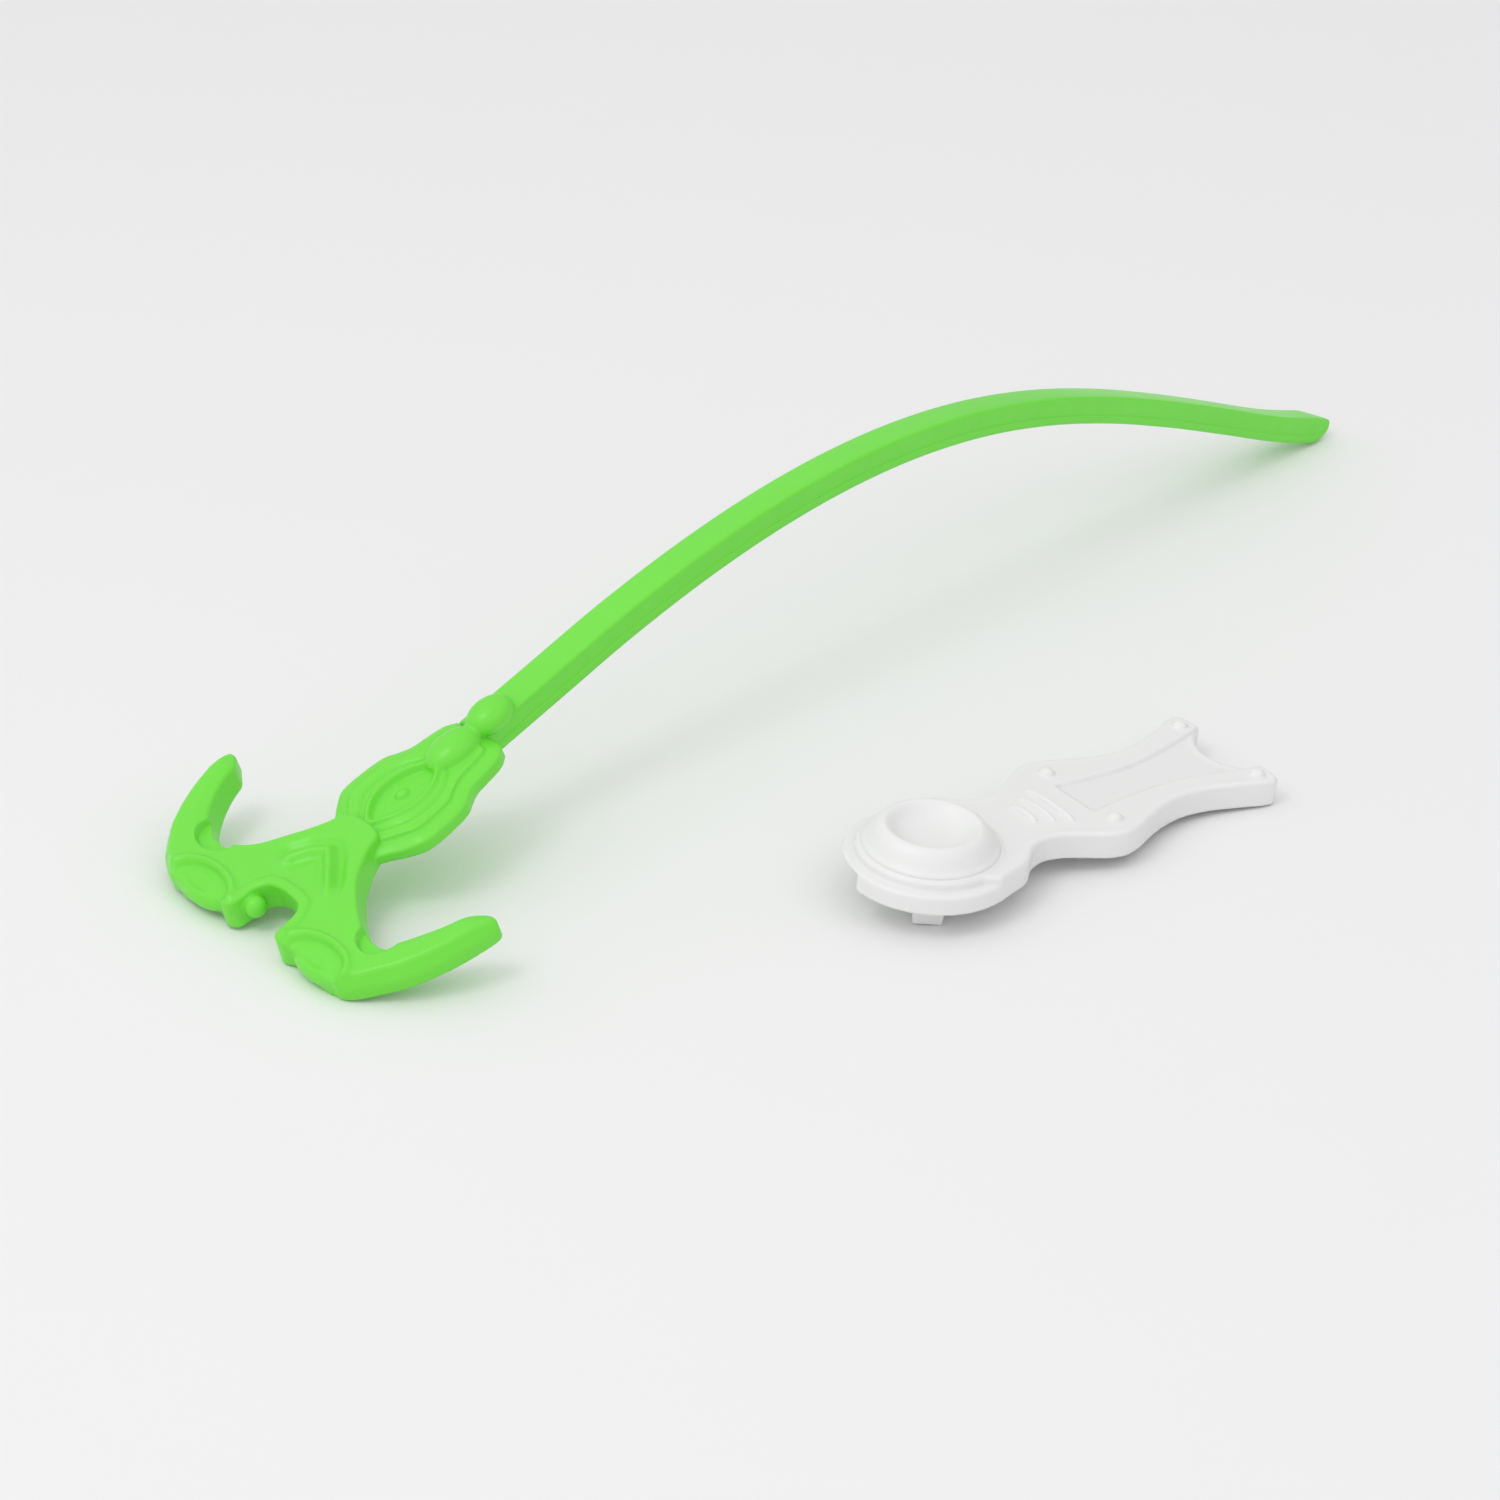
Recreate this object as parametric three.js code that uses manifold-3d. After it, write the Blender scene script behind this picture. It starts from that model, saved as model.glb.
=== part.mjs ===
// Spinning-top launcher set: a geared hand launcher and its rip-cord, lying side by side.
// Millimetres, +Z up. The rip-cord's chord runs along +X and the launcher lies on its -Y side.
import * as THREE from "three";
import { mergeVertices } from "three/addons/utils/BufferGeometryUtils.js";
import Module from "manifold-3d";

const wasm = await Module();
wasm.setup();

// ---- driving dimensions -------------------------------------------------------------------
const GAP = 0.3; // clearance between neighbouring pieces
const RUNNING = 0.1; // radial clearance of the turning journal

// launcher case (local frame: x from the disc axis to the tail, z = 0 on the underside)
const CASE_T = 5.6;
const WALL = 1.5;
const ROOF = 1.2;
const FLANGE_R = 17.0;
const FLANGE_T = 4.0;
const PLATE_R = 14.6;
const DISC_CAVITY_R = 13.2;
const BEVEL = 0.55;
const HANDLE = [
  [4.2, 16.47], [8.5, 15.3], [12.0, 14.3], [14.2, 13.1], [15.8, 11.6], [17.8, 10.2], [21.3, 9.25],
  [25.3, 9.95], [29.4, 12.1], [33.4, 14.5], [36.0, 15.35], [38.3, 15.5], [42.0, 14.6],
  [47.4, 12.35], [53.2, 10.6], [58.6, 10.15], [64.0, 10.95], [69.9, 12.9], [74.6, 14.7],
  [77.2, 15.3],
];
const TAIL_END = [[78.6, 14.6], [79.2, 12.4], [79.2, 9.1]];
const NOTCH = { x: 83.1, r: 9.9, half: 9.1 };
const PANEL = { depth: 0.5, edge: [[36.7, 5.0], [37.6, 5.8], [44, 5.1], [54.9, 4.6], [66, 6.2], [82, 10.2]] };
const RIBS = [[30.6, 7.4], [27.2, 5.6], [23.8, 3.8]];
const RIB = { width: 1.3, height: 0.55 };
const STUDS = [[38.5, 10.2], [75.8, 11.4]];
const STUD = { r: 1.6, h: 0.9 };

// cap on the top plate: radius and height above the underside, closed on the axis
const CAP_R = 13.5;
const CAP_RECESS = 0.4;
const CAP = [
  [0, 7.7], [3.0, 7.75], [5.0, 8.0], [6.6, 8.6], [7.6, 9.3], [8.4, 10.0], [9.3, 10.4], [10.3, 10.05],
  [11.2, 9.2], [12.0, 8.0], [12.7, 6.9], [CAP_R, 6.3], [CAP_R, CASE_T - CAP_RECESS + GAP],
];
const CAP_BOSS = { r: 4.0, bore: 3.3, bottom: 4.0 };

// strip channel through the case, on the far side of the gear
const CHANNEL = { turn: 19, inner: 6.6, outer: 14.6, ceiling: 3.5 };

// drive: gear, prong hub and its screw
const MODULE = 2.2;
const TEETH = 8;
const GEAR = { bottom: 1.5, top: 3.3, journal: 5.4, journalBottom: -0.9, pin: 3.2, pinTop: 5.1, pilot: 1.3 };
const LOWER_T = 1.2;
const HUB = { r: 6.4, top: -1.2, bottom: -3.9, barTop: -2.8, prongR: 11.5, prongT: 3.0, prongW: 6.0 };
const PRONG_BOTTOM = -5.4;
const HUB_TURN = -127.3; // resting angle of the prongs about the disc axis, degrees
const HUB_SCREW = { shank: 1.0, head: 2.0, bore: 1.35, sink: 2.45 };
const CASE_SCREW = { shank: 0.85, head: 1.7, bore: 1.15, sink: 2.0 };

// how the launcher lies: on both prongs and the near tail corner
const LAUNCHER = { x: 100.8, y: -78.1, heading: -8.4, tilt: 3.42, roll: 2.59 };

// rip-cord grip (local frame: a along the cord from the crown, b across, c up from the underside)
const GRIP_T = 5.6;
const GRIP_BEVEL = 1.3;
const SHAFT_BOTTOM = 0.6;
const SHAFT_TOP = 4.6;
const SHAFT_BEVEL = 0.9;
const GRIP_TILT = 20;
const GRIP_AT = { x: -0.3, y: -1.4, z: 6.7, yaw: -3.0, pivot: 50 };
const CROWN = [
  [6.2, 2.2], [5.6, 4.2], [3.4, 5.6], [0.4, 5.9], [-2.2, 6.4], [-3, 8.4], [-2.2, 10.6], [-1.8, 12.5], [-2.9, 17.5],
  [-3.1, 23], [-3, 26.6], [-0.3, 31], [5, 35.8], [9.7, 38.5], [14.5, 40.5], [19.6, 41.8], [23.2, 42.1], [24.6, 40.9],
  [24.6, 38.9], [22.8, 37.2], [18.2, 35], [13, 31.9], [9.8, 29], [8.3, 25.7], [8.2, 22.4], [9.2, 19.1], [12, 15],
  [17.3, 10.4], [22.4, 7.2], [26.6, 6.4], [28.2, 3.6],
];
const SHAFT = [
  [20, 6], [23, 6.6], [26, 8.6], [28.6, 10.9], [32, 12.9], [37.5, 13.1], [42.4, 12.5], [45, 11], [47.6, 9.7],
  [51.5, 9.1], [55, 8.4], [57.4, 6.8],
];
const BEADS = [
  { a: 51.0, c: 4.8, ra: 6.4, rb: 4.4, rc: 3.4 },
  { a: 61.2, c: 5.4, ra: 5.4, rb: 4.0, rc: 3.2 },
];
const LENS = { a: -0.4, b: 18.0, ra: 3.6, rb: 7.4, rc: 3.2 };
const KNOB = { a: 1.6, b: 4.6, r: 2.2 };
const OVAL = { a: 37.0, ra: 10.0, rb: 6.6, rim: 0.9, height: 0.5 };
const PIP = { a: 37.5, r: 1.2, h: 0.4 };

// rip-cord strip: an arched rack, teeth on the far side under the top plate
const STRIP = { y: -0.5, start: 58.0, end: 326.6, width: 7.6, height: 6.1, web: 2.4, top: 1.3, lip: 0.35, lipH: 1.2 };
const ARCH = { from: 71.57, length: 256.7, z: [28.05, 34.86, 40.32, 44.21, 46.32, 46.45, 44.41, 40.13, 33.85, 26.02, 17.4, 9.1, 2.3] };
const PITCH = Math.PI * MODULE;
const TOOTH = { depth: 4.4, root: 4.5, tip: 2.1, bottom: -2.3, first: 74.0, count: 36 };
const TONGUE = { length: 5.0, width: 4.6, height: 2.6, drop: 1.2 };

// centre of the footprint in the layout, so that the finished set is centred on the origin
const CENTRE = { x: 161.72, y: -31.28 };

// ---- helpers ------------------------------------------------------------------------------
const rad = THREE.MathUtils.degToRad;

function solid(geometry) {
  const g = geometry.index ? geometry.toNonIndexed() : geometry.clone();
  g.deleteAttribute("normal");
  g.deleteAttribute("uv");
  const m = mergeVertices(g, 1e-4);
  return new wasm.Manifold(new wasm.Mesh({
    numProp: 3,
    vertProperties: new Float32Array(m.attributes.position.array),
    triVerts: new Uint32Array(m.index.array),
  }));
}

function geometryOf(manifold) {
  const m = manifold.getMesh();
  const g = new THREE.BufferGeometry();
  g.setAttribute("position", new THREE.BufferAttribute(new Float32Array(m.vertProperties), 3));
  g.setIndex(new THREE.BufferAttribute(new Uint32Array(m.triVerts), 1));
  return g;
}

const union = (parts) => wasm.Manifold.union(parts);

function prism(points, z0, z1, bevel = 0, steps = 2) {
  const shape = new THREE.Shape(points.map(([x, y]) => new THREE.Vector2(x, y)));
  const g = new THREE.ExtrudeGeometry(shape, {
    depth: z1 - z0 - 2 * bevel, bevelEnabled: bevel > 0, bevelThickness: bevel, bevelSize: bevel,
    bevelOffset: -bevel, bevelSegments: steps, curveSegments: 1,
  });
  return solid(g.translate(0, 0, z0 + bevel));
}

// bevelled on the upper edge only
function flatPrism(points, z0, z1, bevel) {
  return prism(points, z0 - 3, z1, bevel).subtract(box(-200, 200, -200, 200, z0 - 4, z0));
}

function revolve(profile, segments = 48) {
  const pts = profile.map(([r, z]) => new THREE.Vector2(r, z));
  pts.push(pts[0].clone());
  return solid(new THREE.LatheGeometry(pts, segments).rotateX(Math.PI / 2));
}

function cylinder(r, z0, z1, x = 0, y = 0, segments = 32) {
  const g = new THREE.CylinderGeometry(r, r, z1 - z0, segments).rotateX(Math.PI / 2);
  return solid(g.translate(x, y, (z0 + z1) / 2));
}

function box(x0, x1, y0, y1, z0, z1) {
  const g = new THREE.BoxGeometry(x1 - x0, y1 - y0, z1 - z0);
  return solid(g.translate((x0 + x1) / 2, (y0 + y1) / 2, (z0 + z1) / 2));
}

function ellipsoid(x, y, z, rx, ry, rz, segments = 20) {
  const g = new THREE.SphereGeometry(1, segments, Math.round(segments * 0.6)).rotateX(Math.PI / 2);
  return solid(g.scale(rx, ry, rz).translate(x, y, z));
}

// a smooth polyline through the given points
function smooth(points, divisions) {
  const curve = new THREE.CatmullRomCurve3(points.map(([x, y]) => new THREE.Vector3(x, y, 0)),
    false, "centripetal");
  return curve.getPoints(divisions).map((p) => [p.x, p.y]);
}

// mirror a half outline (y > 0) into a closed one
const closed = (half) => [...half, ...half.slice().reverse().map(([x, y]) => [x, -y])];

// move a closed counter-clockwise or clockwise outline inwards
function inset(points, d) {
  const area = points.reduce((s, [x, y], i) => {
    const [u, v] = points[(i + 1) % points.length];
    return s + x * v - u * y;
  }, 0);
  const side = Math.sign(area);
  return points.map(([x, y], i) => {
    const [px, py] = points[(i + points.length - 1) % points.length];
    const [nx, ny] = points[(i + 1) % points.length];
    const a = new THREE.Vector2(x - px, y - py).normalize();
    const b = new THREE.Vector2(nx - x, ny - y).normalize();
    const t = a.add(b).normalize();
    return [x - t.y * d * side, y + t.x * d * side];
  });
}

// ---- launcher -----------------------------------------------------------------------------
function handleOutline() {
  const arc = [];
  const a = Math.asin(NOTCH.half / NOTCH.r);
  for (let i = 1; i < 8; i++) {
    const t = a * (1 - i / 8);
    arc.push([NOTCH.x - NOTCH.r * Math.cos(t), NOTCH.r * Math.sin(t)]);
  }
  return closed([[-4, 12], ...smooth(HANDLE, 64), ...TAIL_END, ...arc]);
}

const channelSide = (piece) => piece.rotate([0, 0, CHANNEL.turn]);

function upperShell(handle) {
  const ring = revolve([[0, 0], [FLANGE_R, 0], [FLANGE_R, FLANGE_T - 0.7], [FLANGE_R - 0.7, FLANGE_T],
    [0, FLANGE_T]], 64);
  const plate = revolve([[0, 1], [PLATE_R + 0.5, 1], [PLATE_R + 0.5, FLANGE_T], [PLATE_R, FLANGE_T + 0.4],
    [PLATE_R, CASE_T - 0.4], [PLATE_R - 0.4, CASE_T], [0, CASE_T]], 64);
  const grip = flatPrism(handle, 0, CASE_T, BEVEL);
  const raised = [ring, plate, grip];
  for (const [x, half] of RIBS) {
    raised.push(ellipsoid(x, 0, CASE_T, RIB.width / 2, half, RIB.height, 24));
  }
  for (const s of [-1, 1]) {
    for (const [x, y] of STUDS) raised.push(ellipsoid(x, s * y, CASE_T, STUD.r, STUD.r, STUD.h, 16));
  }
  const panel = closed(smooth(PANEL.edge, 20));
  const hollow = inset(handle, WALL).filter(([x]) => x > 0);
  let shell = union(raised)
    .subtract(prism(panel, CASE_T - PANEL.depth, CASE_T + 2))
    .subtract(cylinder(CAP_R + GAP, CASE_T - CAP_RECESS, CASE_T + 2, 0, 0, 48))
    .subtract(cylinder(CAP_BOSS.r + GAP, 0, CASE_T + 2))
    .subtract(union([cylinder(DISC_CAVITY_R, -1, CASE_T - ROOF, 0, 0, 48), prism(hollow, -1, CASE_T - ROOF)]))
    .subtract(channelSide(box(-25, 25, CHANNEL.inner, CHANNEL.outer, -1, CHANNEL.ceiling)));
  const bosses = [];
  for (const s of [-1, 1]) {
    for (const [x, y] of STUDS) bosses.push(cylinder(2.4, 2.6, CASE_T - ROOF + 0.2, x, s * y, 24));
  }
  shell = union([shell, ...bosses]);
  for (const s of [-1, 1]) {
    for (const [x, y] of STUDS) shell = shell.subtract(cylinder(CASE_SCREW.bore, 0, 5.0, x, s * y, 20));
  }
  return shell;
}

function lowerShell(handle) {
  const floor = inset(handle, WALL + GAP).filter(([x]) => x > 0);
  const plate = [cylinder(DISC_CAVITY_R - GAP, 0, LOWER_T, 0, 0, 48), prism(floor, 0, LOWER_T)];
  const bosses = [];
  for (const s of [-1, 1]) {
    for (const [x, y] of STUDS) bosses.push(cylinder(2.4, 0, 2.3, x, s * y, 24));
  }
  plate.push(union(bosses).intersect(prism(floor, 0, 2.3)));
  let shell = union(plate)
    .subtract(cylinder(GEAR.journal + RUNNING, -1, 3, 0, 0, 40))
    .subtract(channelSide(box(-25, 25, CHANNEL.inner - 0.2, 30, -1, 3)));
  for (const s of [-1, 1]) {
    for (const [x, y] of STUDS) {
      shell = shell.subtract(cylinder(CASE_SCREW.bore, -1, 3, x, s * y, 20));
      shell = shell.subtract(cylinder(CASE_SCREW.sink, -1, 1.1, x, s * y, 24));
    }
  }
  return shell;
}

function topCap() {
  const dome = revolve([[0, CASE_T - CAP_RECESS + GAP], ...CAP.slice().reverse()], 56);
  const boss = cylinder(CAP_BOSS.r, CAP_BOSS.bottom, 6.2, 0, 0, 40);
  return union([dome, boss]).subtract(cylinder(CAP_BOSS.bore, 3, 5.5, 0, 0, 36));
}

function gearOutline() {
  const pitch = MODULE * TEETH / 2;
  const points = [];
  for (let i = 0; i < TEETH; i++) {
    const mid = (i / TEETH) * 360;
    for (const [r, half] of [[pitch - 2.6, 15.5], [pitch - 0.2, 9.6], [pitch + 1.9, 4.6]]) {
      points.push([mid - half, r]);
    }
    for (const [r, half] of [[pitch + 1.9, 4.6], [pitch - 0.2, 9.6], [pitch - 2.6, 15.5]]) {
      points.push([mid + half, r]);
    }
  }
  return points.map(([deg, r]) => [r * Math.cos(rad(deg)), r * Math.sin(rad(deg))]);
}

function driveGear() {
  return union([
    prism(gearOutline(), GEAR.bottom, GEAR.top),
    cylinder(GEAR.journal, GEAR.journalBottom, GEAR.top, 0, 0, 40),
    cylinder(GEAR.pin, GEAR.bottom, GEAR.pinTop, 0, 0, 36),
  ]).subtract(cylinder(GEAR.pilot, -2, 3.6, 0, 0, 20));
}

function prongHub() {
  const w = HUB.prongW / 2;
  const parts = [cylinder(HUB.r, HUB.bottom, HUB.top, 0, 0, 48)];
  const outer = HUB.prongR;
  parts.push(prism([[-outer, -w], [outer, -w], [outer, w], [-outer, w]], HUB.bottom, HUB.barTop, 0.2));
  for (const s of [0, 180]) {
    const prong = new THREE.CylinderGeometry(4.1, 4.25, HUB.barTop - 0.2 - PRONG_BOTTOM, 4)
      .rotateX(-Math.PI / 2).rotateZ(Math.PI / 4).scale(HUB.prongT / 6, 1, 1)
      .translate(outer - HUB.prongT / 2 - 0.02, 0, (HUB.barTop - 0.2 + PRONG_BOTTOM) / 2);
    parts.push(solid(prong).rotate([0, 0, s]));
  }
  return union(parts)
    .subtract(cylinder(HUB_SCREW.bore, -6, 0, 0, 0, 24))
    .subtract(cylinder(HUB_SCREW.sink, -6, -2.1, 0, 0, 28))
    .rotate([0, 0, HUB_TURN]);
}

const hubWasher = () => cylinder(2.15, -2.75, -2.4, 0, 0, 28).subtract(cylinder(1.3, -4, 0, 0, 0, 24));

function screw(x, y, { shank, head }, headBottom, shankTop) {
  const body = union([cylinder(head, headBottom, headBottom + 0.7, x, y, 24),
    cylinder(shank, headBottom, shankTop, x, y, 18)]);
  const slot = head * 0.7;
  const cross = union([box(x - slot, x + slot, y - 0.2, y + 0.2, headBottom - 1, headBottom + 0.4),
    box(x - 0.2, x + 0.2, y - slot, y + slot, headBottom - 1, headBottom + 0.4)]);
  return body.subtract(cross);
}

// ---- rip-cord -----------------------------------------------------------------------------
function grip() {
  const crown = closed([[6.4, 0.6], ...smooth(CROWN, 80), [28.6, 0.6]]);
  const shaft = closed([[20.0, 0.6], ...smooth(SHAFT, 32), [58.0, 5.5], [58.0, 0.6]]);
  const body = [flatPrism(crown, 0, GRIP_T, GRIP_BEVEL), flatPrism(shaft, SHAFT_BOTTOM, SHAFT_TOP, SHAFT_BEVEL)];
  for (const s of [-1, 1]) {
    body.push(ellipsoid(LENS.a, s * LENS.b, GRIP_T / 2, LENS.ra, LENS.rb, LENS.rc, 24));
  }
  for (const b of BEADS) body.push(ellipsoid(b.a, 0, b.c, b.ra, b.rb, b.rc, 28));
  body.push(ellipsoid(KNOB.a, KNOB.b, GRIP_T * 0.55, KNOB.r, KNOB.r, KNOB.r, 18));
  body.push(cylinder(1, 2, SHAFT_TOP + OVAL.height).scale([OVAL.ra, OVAL.rb, 1]).translate([OVAL.a, 0, 0]));
  const well = cylinder(1, SHAFT_TOP - 0.4, GRIP_T + 2)
    .scale([OVAL.ra - OVAL.rim, OVAL.rb - OVAL.rim, 1]).translate([OVAL.a, 0, 0]);
  const beadsAgain = BEADS.map((b) => ellipsoid(b.a, 0, b.c, b.ra, b.rb, b.rc, 28));
  return union([union(body).subtract(well), ...beadsAgain, cylinder(PIP.r, 2, SHAFT_TOP - 0.4 + PIP.h, PIP.a, 0)]);
}

// height, slope and frame of the arched centre line at a distance x along the chord
const archCurve = new THREE.CatmullRomCurve3(
  ARCH.z.map((z, i) => new THREE.Vector3(ARCH.from + (ARCH.length * i) / (ARCH.z.length - 1), 0, z)),
  false, "catmullrom", 0.5);
const archPoints = archCurve.getPoints(240);

function archAt(x) {
  const pts = archPoints;
  let i = 0;
  while (i < pts.length - 2 && pts[i + 1].x < x) i++;
  const t = (x - pts[i].x) / (pts[i + 1].x - pts[i].x);
  const before = pts[Math.max(i - 2, 0)];
  const after = pts[Math.min(i + 3, pts.length - 1)];
  const slope = Math.atan2(after.z - before.z, after.x - before.x);
  return { x, z: pts[i].z + t * (pts[i + 1].z - pts[i].z), slope };
}

// local x runs along the strip at the station, z is its own up direction
function stationMatrix(x, back = 0) {
  const s = archAt(Math.max(x, ARCH.from));
  const m = new THREE.Matrix4().makeRotationY(-s.slope);
  const d = new THREE.Vector3(Math.min(x - ARCH.from, 0) - back, 0, 0).applyMatrix4(m);
  return m.setPosition(s.x + d.x, 0, s.z + d.z);
}

function stripSection() {
  const w = STRIP.width / 2;
  const h = STRIP.height / 2;
  return [[-w, h - 0.5], [-w + 0.5, h], [w - 0.4, h], [w, h - 0.4], [w, h - STRIP.top], [-w + STRIP.web, h - STRIP.top],
    [-w + STRIP.web, -h], [-w - STRIP.lip, -h], [-w - STRIP.lip, -h + STRIP.lipH], [-w, -h + STRIP.lipH + 0.2]];
}

function stripBody() {
  const section = stripSection();
  const stations = [];
  for (let i = 0; i <= 64; i++) stations.push(STRIP.start + ((STRIP.end - STRIP.start) * i) / 64);
  const positions = [];
  const n = section.length;
  const rings = stations.map((x) => section.map(([y, z]) => new THREE.Vector3(0, y, z).applyMatrix4(stationMatrix(x))));
  const push = (...v) => v.forEach((p) => positions.push(p.x, p.y, p.z));
  for (let i = 0; i < rings.length - 1; i++) {
    for (let j = 0; j < n; j++) {
      const k = (j + 1) % n;
      push(rings[i][j], rings[i + 1][j], rings[i + 1][k], rings[i][j], rings[i + 1][k], rings[i][k]);
    }
  }
  const flat = section.map(([y, z]) => new THREE.Vector2(y, z));
  const first = rings[0];
  const last = rings[rings.length - 1];
  for (const face of THREE.ShapeUtils.triangulateShape(flat, [])) {
    const clockwise = THREE.ShapeUtils.area(face.map((i) => flat[i])) < 0;
    const [a, b, c] = clockwise ? face : face.reverse();
    push(first[a], first[b], first[c]);
    push(last[a], last[c], last[b]);
  }
  const g = new THREE.BufferGeometry();
  g.setAttribute("position", new THREE.Float32BufferAttribute(positions, 3));
  return solid(g);
}

function rackTooth(x) {
  const y0 = -STRIP.width / 2 + STRIP.web - 0.4;
  const y1 = y0 + TOOTH.depth + 0.4;
  const profile = [[-TOOTH.root / 2, y0], [TOOTH.root / 2, y0], [TOOTH.tip / 2, y1], [-TOOTH.tip / 2, y1]];
  const shape = new THREE.Shape(profile.map(([u, v]) => new THREE.Vector2(u, v)));
  const top = STRIP.height / 2 - STRIP.top + 0.3;
  const g = new THREE.ExtrudeGeometry(shape, { depth: top - TOOTH.bottom, bevelEnabled: false });
  return solid(g.translate(0, 0, TOOTH.bottom).applyMatrix4(stationMatrix(x)));
}

function strip(gripClearance) {
  const teeth = [];
  for (let i = 0; i < TOOTH.count; i++) teeth.push(rackTooth(TOOTH.first + PITCH * 0.985 * i));
  const tongue = new THREE.BoxGeometry(TONGUE.length + 3, TONGUE.width, TONGUE.height)
    .translate(-TONGUE.length / 2 + 1.5, 0, -TONGUE.drop).applyMatrix4(stationMatrix(STRIP.start));
  return union([stripBody(), ...teeth, solid(tongue)]).subtract(gripClearance);
}

// ---- assembly -----------------------------------------------------------------------------
const COLOURS = { white: 0xededed, green: 0x67d83c, steel: 0xb9bcc0, nylon: 0xd9d9d4 };

function mesh(name, manifold, matrix, colour, metalness = 0) {
  const geometry = geometryOf(manifold);
  if (matrix) geometry.applyMatrix4(matrix);
  geometry.computeVertexNormals();
  const material = new THREE.MeshStandardMaterial({ color: colour, roughness: 0.4, metalness });
  const m = new THREE.Mesh(geometry, material);
  m.name = name;
  return m;
}

function launcherMeshes(place) {
  const handle = handleOutline();
  const list = [
    mesh("upper_shell", upperShell(handle), place, COLOURS.white),
    mesh("lower_shell", lowerShell(handle), place, COLOURS.white),
    mesh("top_cap", topCap(), place, COLOURS.white),
    mesh("drive_gear", driveGear(), place, COLOURS.nylon),
    mesh("prong_hub", prongHub(), place, COLOURS.white),
    mesh("hub_washer", hubWasher(), place, COLOURS.steel, 1),
    mesh("hub_screw", screw(0, 0, HUB_SCREW, -3.75, 2.9), place, COLOURS.steel, 1),
  ];
  let i = 1;
  for (const [x, y] of STUDS) {
    for (const s of [-1, 1]) {
      list.push(mesh(`case_screw_${i++}`, screw(x, s * y, CASE_SCREW, 0.1, 4.6), place, COLOURS.steel, 1));
    }
  }
  return list;
}

function ripcordMeshes() {
  const place = new THREE.Matrix4().makeRotationY(-rad(GRIP_TILT));
  const lift = new THREE.Vector3(0, 0, GRIP_T).applyMatrix4(place);
  place.setPosition(GRIP_AT.x - lift.x, GRIP_AT.y, GRIP_AT.z - lift.z);
  // the grip sits slightly askew on the strip, turned about a point near its collar
  place.multiply(new THREE.Matrix4().makeTranslation(GRIP_AT.pivot, 0, 0))
    .multiply(new THREE.Matrix4().makeRotationZ(rad(GRIP_AT.yaw)))
    .multiply(new THREE.Matrix4().makeTranslation(-GRIP_AT.pivot, 0, 0));
  const toStrip = new THREE.Matrix4().makeTranslation(0, STRIP.y, 0);
  // the strip keeps its clearance from the collar and the second bead
  const bead = BEADS[1];
  const collar = box(40, 58.0 + GAP, -12, 12, -6, SHAFT_TOP + GAP);
  const keepOff = union([collar, ellipsoid(bead.a, 0, bead.c, bead.ra + GAP, bead.rb + GAP, bead.rc + GAP, 28)]);
  const tongueRoom = [TONGUE.length, TONGUE.width / 2, TONGUE.height / 2];
  const tongueAt = stationMatrix(STRIP.start);
  const tongueBox = (gap) => solid(new THREE.BoxGeometry(2 * tongueRoom[0] + 2 * gap,
    2 * (tongueRoom[1] + gap), 2 * (tongueRoom[2] + gap)).translate(0, 0, -TONGUE.drop)
    .applyMatrix4(tongueAt));
  const placed = (m, mat) => solid(geometryOf(m).applyMatrix4(mat));
  const back = toStrip.clone().invert();
  const keepOffWorld = placed(placed(keepOff, place), back).subtract(tongueBox(0));
  const gripBody = placed(grip(), place).subtract(placed(tongueBox(GAP), toStrip));
  return [
    mesh("ripcord_grip", gripBody, null, COLOURS.green),
    mesh("ripcord_strip", strip(keepOffWorld), toStrip, COLOURS.green),
  ];
}

// drop a set of meshes so that its lowest point touches the floor
function settle(meshes) {
  const low = Math.min(...meshes.map((m) => {
    m.geometry.computeBoundingBox();
    return m.geometry.boundingBox.min.z;
  }));
  meshes.forEach((m) => m.geometry.translate(-CENTRE.x, -CENTRE.y, -low));
  return meshes;
}

const place = new THREE.Matrix4().makeTranslation(LAUNCHER.x, LAUNCHER.y, 0)
  .multiply(new THREE.Matrix4().makeRotationZ(rad(LAUNCHER.heading)))
  .multiply(new THREE.Matrix4().makeRotationY(rad(LAUNCHER.tilt)))
  .multiply(new THREE.Matrix4().makeRotationX(rad(LAUNCHER.roll)));

const group = new THREE.Group();
group.name = "spinning_top_launcher_set";
group.add(...settle(launcherMeshes(place)), ...settle(ripcordMeshes()));

export default group;
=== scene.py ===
"""Looks of a spinning-top launcher and its arched rip-cord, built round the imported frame."""

import math

import bpy
import numpy as np
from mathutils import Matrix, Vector


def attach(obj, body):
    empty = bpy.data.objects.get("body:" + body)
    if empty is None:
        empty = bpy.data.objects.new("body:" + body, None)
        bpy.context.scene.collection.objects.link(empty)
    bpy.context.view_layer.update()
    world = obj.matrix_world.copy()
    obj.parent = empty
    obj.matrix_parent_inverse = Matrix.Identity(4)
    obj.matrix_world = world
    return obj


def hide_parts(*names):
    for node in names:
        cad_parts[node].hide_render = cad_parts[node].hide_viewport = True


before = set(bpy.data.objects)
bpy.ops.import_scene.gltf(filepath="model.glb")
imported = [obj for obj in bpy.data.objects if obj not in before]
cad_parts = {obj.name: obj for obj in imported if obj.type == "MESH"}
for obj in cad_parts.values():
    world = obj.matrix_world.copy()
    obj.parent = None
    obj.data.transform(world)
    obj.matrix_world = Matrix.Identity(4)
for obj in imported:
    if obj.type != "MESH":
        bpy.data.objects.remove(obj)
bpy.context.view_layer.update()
MM = 0.001

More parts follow.
